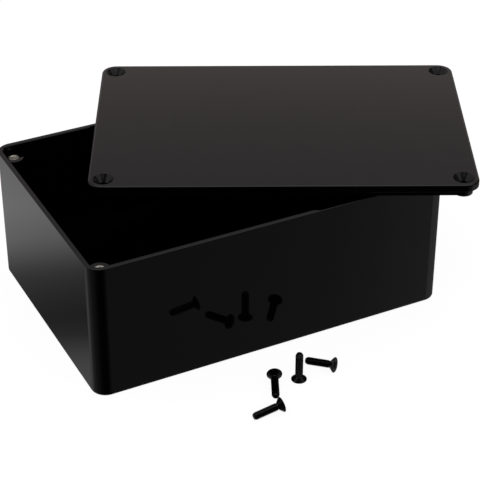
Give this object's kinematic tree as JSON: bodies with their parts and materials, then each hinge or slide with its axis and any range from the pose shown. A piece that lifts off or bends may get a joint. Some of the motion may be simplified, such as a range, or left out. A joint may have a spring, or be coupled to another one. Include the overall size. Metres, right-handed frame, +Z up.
{
  "type": "plastic project box",
  "caption": "Open black plastic instrument box with its screw-down lid lying askew on the rim, threaded corner inserts and loose countersunk lid screws in front.",
  "frame": {"origin": "centre of the tub's flat underside", "axes": "+X along the tub's length to the right, +Y to its back, +Z up from the surface it stands on"},
  "size_m": [0.1956, 0.1761, 0.0626],
  "materials": {
    "tub_plastic": "black ABS, polished outside, faint moulding marks",
    "lid_plastic": "black ABS, satin moulded face",
    "insert_brass": "bright turned brass",
    "screw_steel": "black oxide steel"
  },
  "bodies": {
    "root": {"tub": "tub_plastic", "lid": "lid_plastic", "insert_front_left": "insert_brass", "insert_front_right": "insert_brass", "insert_back_left": "insert_brass", "insert_back_right": "insert_brass", "screw_lying_front": "screw_steel", "screw_lying_left": "screw_steel", "screw_standing": "screw_steel", "screw_lying_right": "screw_steel"}
  },
  "joints": []
}
